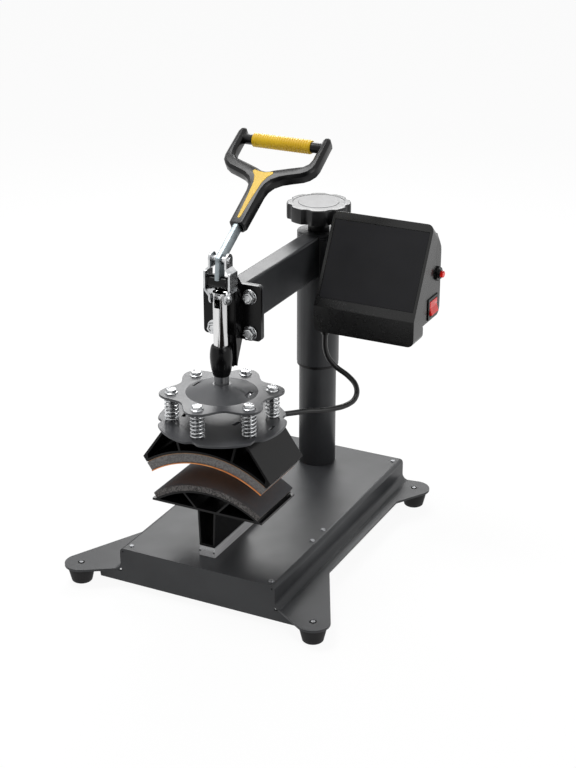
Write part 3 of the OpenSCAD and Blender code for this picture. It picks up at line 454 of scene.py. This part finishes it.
def flange_head(bm, place, flange_r, flange_t, hex_r, hex_h):
    """Flange bolt head: a coned flange, a hexagon with turned corners, and a dished top."""
    rise = flange_t + 0.5
    cone = [(0, 0), (flange_r, 0), (flange_r, flange_t * 0.55), (flange_r - 0.4, flange_t * 0.85),
            (hex_r * 0.9, rise), (0, rise)]
    spin_profile(bm, cone, 32, place)
    corners = [math.radians(60 * k + HEX_TURN) for k in range(6)]
    hexagon = [(hex_r * math.cos(a), hex_r * math.sin(a)) for a in corners]
    top = prism(bm, hexagon, hex_h, place @ Matrix.Translation((0, 0, flange_t)))[1]
    round_edges(bm, list(top.edges), 0.55, 2)
    to_head = place.inverted()
    six_sided = [f for f in bm.faces if len(f.verts) == 6]
    top = max(six_sided, key=lambda f: (to_head @ f.calc_center_median()).z)
    bmesh.ops.inset_individual(bm, faces=[top], thickness=hex_r * 0.2, depth=0)
    bmesh.ops.inset_individual(bm, faces=[top], thickness=hex_r * 0.16, depth=-0.9)


# Head springs: round wire, closed at both ends

SPRING_LOW, SPRING_HIGH = 223.0, 256.5
SPRING_D, WIRE_D = 18, 2.4
SPRING_TURNS, SPRING_STEPS = 7, 28
# The clearance at each end of a spring, the gap between its end turns and how far the heater can rise
SPRING_PLAY, END_GAP, HEATER_RISE = 0.1, 0.75, 4
BOLT_R, BOLT_N = 61, 6


def bolt_centre(k):
    """Where a head bolt and its spring stand on the bolt circle."""
    turn = math.radians(90 + k * 360 / BOLT_N)
    return Vector((BOLT_R * math.cos(turn), HEAD_Y + BOLT_R * math.sin(turn), 0))


def spring_line(centre):
    """Centre line of one spring about a vertical axis, in metres."""
    radius = (SPRING_D - WIRE_D) / 2
    end_pitch = WIRE_D + END_GAP
    room = SPRING_HIGH - SPRING_LOW - WIRE_D - 2 * SPRING_PLAY
    middle_pitch = (room - 2 * end_pitch) / (SPRING_TURNS - 2)
    foot = centre + Vector((0, 0, SPRING_LOW + WIRE_D / 2 + SPRING_PLAY))
    line = []
    for i in range(SPRING_TURNS * SPRING_STEPS + 1):
        t = i / SPRING_STEPS
        if t < 1:
            rise = t * end_pitch
        elif t > SPRING_TURNS - 1:
            rise = room - (SPRING_TURNS - t) * end_pitch
        else:
            rise = end_pitch + (t - 1) * middle_pitch
        a = math.tau * t
        line.append((foot + Vector((radius * math.cos(a), radius * math.sin(a), rise))) * MM)
    return line


bolt_centres = [bolt_centre(k) for k in range(BOLT_N)]
spring_lines = [spring_line(c) for c in bolt_centres]
springs = to_mesh(curve_tube("head_spring_coils", spring_lines, WIRE_D / 2 * MM, 4))
dress(springs, "zinc_steel")
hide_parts("head_springs")
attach(springs, "heater")
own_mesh(springs)


# The bolt heads' undersides, just clear of the star plate
BOLT_SEAT = 259.6


def head_bolt_set():
    """Six flange bolts on the star plate, with their shanks down through the springs."""
    shank = [(0, 220.1), (3.6, 220.1), (4, 220.6), (4, 261), (0, 261)]
    bm = bmesh.new()
    for centre in bolt_centres:
        at = Matrix.Translation(centre)
        flange_head(bm, at @ Matrix.Translation((0, 0, BOLT_SEAT)), 8, 1.1, 6.6, 4.0)
        spin_profile(bm, shank, 24, at)
    return shape(bm, AS_DRAWN)


piece("head_flange_bolts", head_bolt_set(), "zinc_steel", "heater", "head_bolts")


BRACKET_FACE_Y = -240.15
BRACKET_BOLTS = [(x, z) for x in (-24, 24) for z in (329, 375)]


def bracket_bolt_set():
    """Four flange bolts that hold the toggle bracket to the arm's end plate."""
    shank = [(0, -19), (4.4, -19), (4.4, 0.5), (0, 0.5)]
    bm = bmesh.new()
    for x, z in BRACKET_BOLTS:
        at = AT_POST @ Matrix.Translation((x, BRACKET_FACE_Y, z)) @ turned(90, "X")
        flange_head(bm, at, 9.5, 1.7, 7.6, 5.4)
        spin_profile(bm, shank, 20, at)
    return shape(bm, AS_DRAWN)


piece("bracket_flange_bolts", bracket_bolt_set(), "zinc_steel", "arm", "bracket_bolts")


KNOB_LOW, KNOB_T, KNOB_R = 403.5, 20.5, 42
KNOB_LOBES, KNOB_TURN = 8, 2.5
# The finger scallops are arcs of this radius, about centres this far out
SCALLOP_R, SCALLOP_AT = 9.5, 48


def knob_rim(x, y):
    """The knob's radius in the direction of a point: full on a lobe, less in a scallop."""
    lobe = 360 / KNOB_LOBES
    turn = math.degrees(math.atan2(y, x)) - KNOB_TURN
    away = math.radians((turn + lobe / 2) % lobe - lobe / 2)
    reach = SCALLOP_AT * math.sin(away)
    if abs(reach) > SCALLOP_R:
        return KNOB_R
    return min(KNOB_R, SCALLOP_AT * math.cos(away) - math.sqrt(SCALLOP_R ** 2 - reach ** 2))


def knob_shape():
    """Lobed hand wheel: eight finger scallops, a rolled rim and a shallow ring on its top."""
    under = [(0, 0), (15.5, 0), (15.5, 12), (33.5, 12), (33.5, 0), (40.6, 0), (41.6, 0.4), (KNOB_R, 1.4)]
    rim = [(KNOB_R, 17.6), (41.6, 19.2), (40.6, 20.2), (39, KNOB_T), (34.2, KNOB_T)]
    ring = [(33.6, 20.1), (26.6, 20.1), (26, KNOB_T), (0, KNOB_T)]
    bm = bmesh.new()
    spin_profile(bm, under + rim + ring, 192)
    for vert in bm.verts:
        if math.hypot(vert.co.x, vert.co.y) > 36:
            share = knob_rim(vert.co.x, vert.co.y) / KNOB_R
            vert.co.x *= share
            vert.co.y *= share
    return shape(bm, AT_POST @ Matrix.Translation((0, 0, KNOB_LOW)), 32)


piece("lobed_knob", knob_shape(), "knob_plastic", "adjust_screw", "knob")


def barrel_shape():
    """Cast guide barrel, swollen at its middle, with a lug back to the bracket."""
    outside = [(9.3, 281), (9.9, 281.2), (10.6, 283), (11.7, 287), (12.7, 292), (13.5, 298), (13.9, 304),
               (13.75, 309), (13.2, 314), (12.4, 317.6), (11.6, 319.1), (10.6, 319.5), (9.3, 319.5)]
    bore = [(9.1, 319.2), (9.1, 281.3), (9.3, 281)]
    lug = [(8, 291), (13.5, 291), (15.5, 298), (28, 325), (28, 331), (8, 331)]
    lug_w = 24
    bm = bmesh.new()
    spin_profile(bm, outside + bore, 64)
    prism(bm, lug, lug_w, across_from(-lug_w / 2))
    return shape(bm, AT_HEAD, 40)


piece("guide_barrel", barrel_shape(), "black_paint", "arm", "plunger_guide")


# The bar's thickness, the half width of its crank, and the hub's bore, radius, half length and chamfer
LEVER_T, CRANK_HALF_W = 6, 7.2
HUB_BORE_R, HUB_R, HUB_HALF_L, HUB_CHAMFER = 3.95, 7.6, 11.8, 0.6


def lever_shape():
    """Flat zinc-plated bar from the link pin into the grip, with its short crank down to the pivot."""
    bar = [(-5, -6.75), (112, -6.75), (112, 6.75), (-5, 6.75), (-CRANK_HALF_W, 3.4), (-CRANK_HALF_W, -3.4)]
    pivot = turned(-LEVER_SLOPE, "X") @ (Vector((0, PIVOT_Y, PIVOT_Z)) - LINK_PIN)
    side = Vector((0, -pivot.z, pivot.y)).normalized() * CRANK_HALF_W
    crank = [(p.y, p.z) for p in (side, pivot + side, pivot - side, -side)]
    bm = bmesh.new()
    for outline in (bar, crank):
        prism(bm, outline, LEVER_T, across_from(-LEVER_T / 2))
    round_edges(bm, sharp_edges(bm, 34), 0.7, 2)
    return shape(bm, ON_LEVER, 40)


def hub_shape():
    """Turned hub that runs on the fixed pivot between the bracket's cheeks."""
    low = [(HUB_BORE_R, -HUB_HALF_L), (HUB_R - HUB_CHAMFER, -HUB_HALF_L), (HUB_R, HUB_CHAMFER - HUB_HALF_L)]
    section = low + [(r, -z) for r, z in reversed(low)] + [low[0]]
    bm = bmesh.new()
    spin_profile(bm, section, 40, Matrix.Translation((0, PIVOT_Y, PIVOT_Z)) @ turned(90, "Y"))
    return shape(bm, AT_HEAD, 40)


piece("lever_bar", lever_shape(), "lever_zinc", "handle", "lever", slot="zinc_steel")
piece("lever_hub", hub_shape(), "black_paint", "handle")


GRIP_FOOT, GRIP_T = 51, 17


def grip_shape():
    """Y-shaped grip: one moulding with wide chamfers, a hollow foot and a rounded fork."""
    outer = [(0, GRIP_FOOT), (9, GRIP_FOOT), (10.5, 53), (11, 105), (12.5, 114), (17, 122), (25, 128),
             (35, 132), (49, 137), (56.5, 142), (61.5, 149), (63.3, 157), (63, 198), (61, 202.5),
             (57.5, 204.5)]
    inner = [(54.2, 203.5), (52.4, 200), (52, 166), (50, 158.5), (45, 153.5), (30, 148.5), (12, 142),
             (6, 139), (0, 138)]
    half = outer + inner
    outline = half + [(-x, y) for x, y in reversed(half[1:-1])]
    bm = bmesh.new()
    foot, top = prism(bm, outline, GRIP_T, Matrix.Translation((0, 0, -GRIP_T / 2)))
    rims = [*foot.edges, *top.edges]
    round_edges(bm, [e for e in rims if not all(abs(v.co.y - GRIP_FOOT) < 1e-4 for v in e.verts)], 3.4, 1)
    end = min(bm.faces, key=lambda f: f.calc_center_median().y)
    bmesh.ops.inset_individual(bm, faces=[end], thickness=2.4, depth=0)
    bmesh.ops.inset_individual(bm, faces=[end], thickness=0.2, depth=-7)
    round_edges(bm, sharp_edges(bm, 30), 0.7, 2)
    return shape(bm, ON_LEVER, 30)


piece("grip_moulding", grip_shape(), "grip_black", "handle", "grip_frame")


BOX_X, BOX_W = 40, 137
BOX_MID_X = BOX_X + BOX_W / 2
# The box's front seen from the side: nose, chin, rear edge and top, as Y from the post's axis and height
NOSE, CHIN, CHIN_BACK, TOP_BACK, TOP = (-97, 319.3), (-97, 285), (-66, 285), (-20.5, 413.5), (-37.9, 428.6)


def bezel_shape():
    """Front moulding of the control box: a sloped face round the glass, soft corners and a deep chin."""
    side = [NOSE, CHIN, CHIN_BACK, (-66, 300.5), (-71.7, 318.4), TOP_BACK, TOP]
    bm = bmesh.new()
    prism(bm, side, BOX_W, across_from(BOX_X))

    def near(edge, y, z, slack):
        middle = (edge.verts[0].co + edge.verts[1].co) / 2
        return abs(middle.y - y) < slack and abs(middle.z - z) < slack

    def midway(a, b):
        return (a[0] + b[0]) / 2, (a[1] + b[1]) / 2

    ends = [midway(TOP_BACK, TOP), midway(CHIN, CHIN_BACK)]
    corners = [e for e in bm.edges if not runs_along(e, 0) and any(near(e, *p, 3) for p in ends)]
    round_edges(bm, corners, 9, 6)
    bends = [e for e in bm.edges if abs(e.verts[0].co.x - e.verts[1].co.x) > 1
             and any(near(e, *p, 1) for p in (NOSE, CHIN, TOP))]
    round_edges(bm, bends, 8.5, 7)
    round_edges(bm, sharp_edges(bm, 35), 3.4, 4)

    to_glass = AT_POST.inverted() @ ON_GLASS
    middle = to_glass @ Vector((BOX_MID_X, GLASS_H / 2, 0))

    def sloped_face():
        return min(bm.faces, key=lambda f: (f.calc_center_median() - middle).length)

    half_w = GLASS_W / 2 + GLASS_GAP
    across, up = Vector((1, 0, 0)), Vector((0, 1, 0))
    for x, y, axis in ((BOX_MID_X - half_w, GLASS_H / 2, across), (BOX_MID_X + half_w, GLASS_H / 2, across),
                       (BOX_MID_X, -GLASS_GAP, up), (BOX_MID_X, GLASS_H + GLASS_GAP, up)):
        face = sloped_face()
        bmesh.ops.bisect_plane(bm, geom=[face, *face.edges, *face.verts], dist=1e-5,
                               plane_co=to_glass @ Vector((x, y, 0)), plane_no=to_glass.to_3x3() @ axis)
    bmesh.ops.inset_individual(bm, faces=[sloped_face()], thickness=0.25, depth=-1.6)
    return shape(bm, AT_POST, 28)


piece("box_front_moulding", bezel_shape(), "box_plastic", "arm", "box_bezel")


# The sponge bends over the platen's arc
PAD_R, PAD_CROWN, PAD_T = 129.0, 150.6, 8.0
PAD_HALF_L, PAD_HALF_ANGLE = 44.5, math.radians(35.4)
PAD_CENTRE_Z = PAD_CROWN - PAD_R
PAD_CUTS = (43, 31, 3)


def pad_shape():
    """Sponge sheet bent over the platen, a little fuller at its middle, with slack rounded edges."""
    bm = bmesh.new()
    bmesh.ops.create_cube(bm, size=2)
    for axis, cuts in enumerate(PAD_CUTS):
        edges = [e for e in bm.edges if runs_along(e, axis)]
        bmesh.ops.subdivide_edges(bm, edges=edges, cuts=cuts, use_grid_fill=True)
    for vert in bm.verts:
        u, v, w = vert.co
        slack = 0.9 * max(abs(u) ** 26, abs(v) ** 18) * (0.5 + 0.5 * w)
        drawn_in = 0.5 * (1 - w * w) + 0.5 * max(w, 0) ** 6
        radius = PAD_R - (1 - w) / 2 * PAD_T - slack
        angle = u * (PAD_HALF_ANGLE - drawn_in / PAD_R * (abs(u) > 0.98))
        y = v * PAD_HALF_L - math.copysign(drawn_in * (abs(v) > 0.98), v)
        vert.co = Vector((radius * math.sin(angle), y, PAD_CENTRE_Z + radius * math.cos(angle)))
    return shape(bm, AT_HEAD, 40)


pad = piece("platen_sponge", pad_shape(), "pad_foam", "platen", "platen_pad")
pad.data.materials.append(finishes["pad_edge"])
for face in pad.data.polygons:
    out = Vector((face.center.x, 0, face.center.z - PAD_CENTRE_Z * MM)).normalized()
    face.material_index = 0 if face.normal.dot(out) > 0.8 else 1


# Studio

FLOOR_GLOW = 0.93
# How bright the surroundings are where they light the object, and where the camera or a mirror sees them
WORLD_LIGHT, WORLD_SEEN = 0.38, 1.0


def lay_floor():
    """Pale paper floor, which the camera and reflections see almost white and which keeps the shadow."""
    bpy.ops.mesh.primitive_plane_add(size=9, location=(0, 0, -0.0005))
    floor = bpy.context.object
    floor.name = "studio_floor"
    material, tree, surface, _ = start_material("floor_paper", "#ffffff", 0.9, Specular_IOR_Level=0.0)
    rays = add(tree, "LightPath")
    seen = add(tree, "Math", {0: rays.outputs["Is Camera Ray"], 1: rays.outputs["Is Glossy Ray"]},
               operation="MAXIMUM")
    share = add(tree, "Math", {0: seen.outputs["Value"]}, operation="MULTIPLY")
    share.inputs[1].default_value = FLOOR_GLOW
    glow = add(tree, "Emission", Color=(1, 1, 1, 1), Strength=1.0)
    mixed = add(tree, "MixShader", {0: share.outputs["Value"], 1: surface.outputs[0], 2: glow.outputs[0]})
    tree.links.new(mixed.outputs[0], tree.nodes["Material Output"].inputs["Surface"])
    floor.data.materials.append(material)


def surround_with_white():
    """White surroundings: plain light on the object, full white for the camera, mirrors and glass."""
    world = bpy.data.worlds.new("studio_world")
    bpy.context.scene.world = world
    world.use_nodes = True
    tree = world.node_tree
    rays = add(tree, "LightPath")
    direct = add(tree, "Math", {0: rays.outputs["Is Camera Ray"], 1: rays.outputs["Is Transmission Ray"]},
                 operation="MAXIMUM")
    seen = add(tree, "Math", {0: direct.outputs["Value"], 1: rays.outputs["Is Glossy Ray"]},
               operation="MAXIMUM")
    level = add(tree, "MapRange", {"Value": seen.outputs["Value"]}, To_Min=WORLD_LIGHT, To_Max=WORLD_SEEN)
    background = tree.nodes["Background"]
    background.inputs["Color"].default_value = (1, 1, 1, 1)
    tree.links.new(level.outputs["Result"], background.inputs["Strength"])


def hang_lamps():
    """Three soft square lamps that look at the object's middle: place, watts and side, in metres."""
    lamps = [
        ("top_softbox", (-0.7, -0.1, 2.2), 26, 0.8),
        ("right_softbox", (2.2, -0.9, 1.3), 14, 1.2),
        ("rear_strip", (-0.5, 1.15, 1.2), 16, 0.8),
    ]
    for name, place, power, size in lamps:
        data = bpy.data.lights.new(name, "AREA")
        data.energy = power
        data.size = size
        lamp = bpy.data.objects.new(name, data)
        bpy.context.scene.collection.objects.link(lamp)
        lamp.location = place
        aim = Vector((0, 0, 0.3)) - lamp.location
        lamp.rotation_euler = aim.to_track_quat("-Z", "Y").to_euler()
        lamp.visible_camera = False


def hang_drapes():
    """Two dark drapes that only reflections see, so that bright metal has something dark to mirror."""
    cloth = start_material("drape_cloth", "#1c1917", 0.95, Specular_IOR_Level=0.0)[0]
    drapes = [
        ("standing_drape", (1.25, -2.45, 1.1), (2.4, 2.6, 1), (90, 0, CAMERA_TURN)),
        ("floor_drape", (0.45, -0.95, 0.002), (0.9, 1.4, 1), (0, 0, 29)),
    ]
    for name, place, size, turn in drapes:
        rotation = [math.radians(angle) for angle in turn]
        bpy.ops.mesh.primitive_plane_add(size=1, location=place, rotation=rotation)
        drape = bpy.context.object
        drape.name = name
        drape.scale = size
        drape.data.materials.append(cloth)
        drape.visible_camera = False
        drape.visible_diffuse = False
        drape.visible_shadow = False
        drape.visible_transmission = False


lay_floor()
surround_with_white()
hang_lamps()
hang_drapes()
bpy.context.scene.view_settings.view_transform = "Standard"
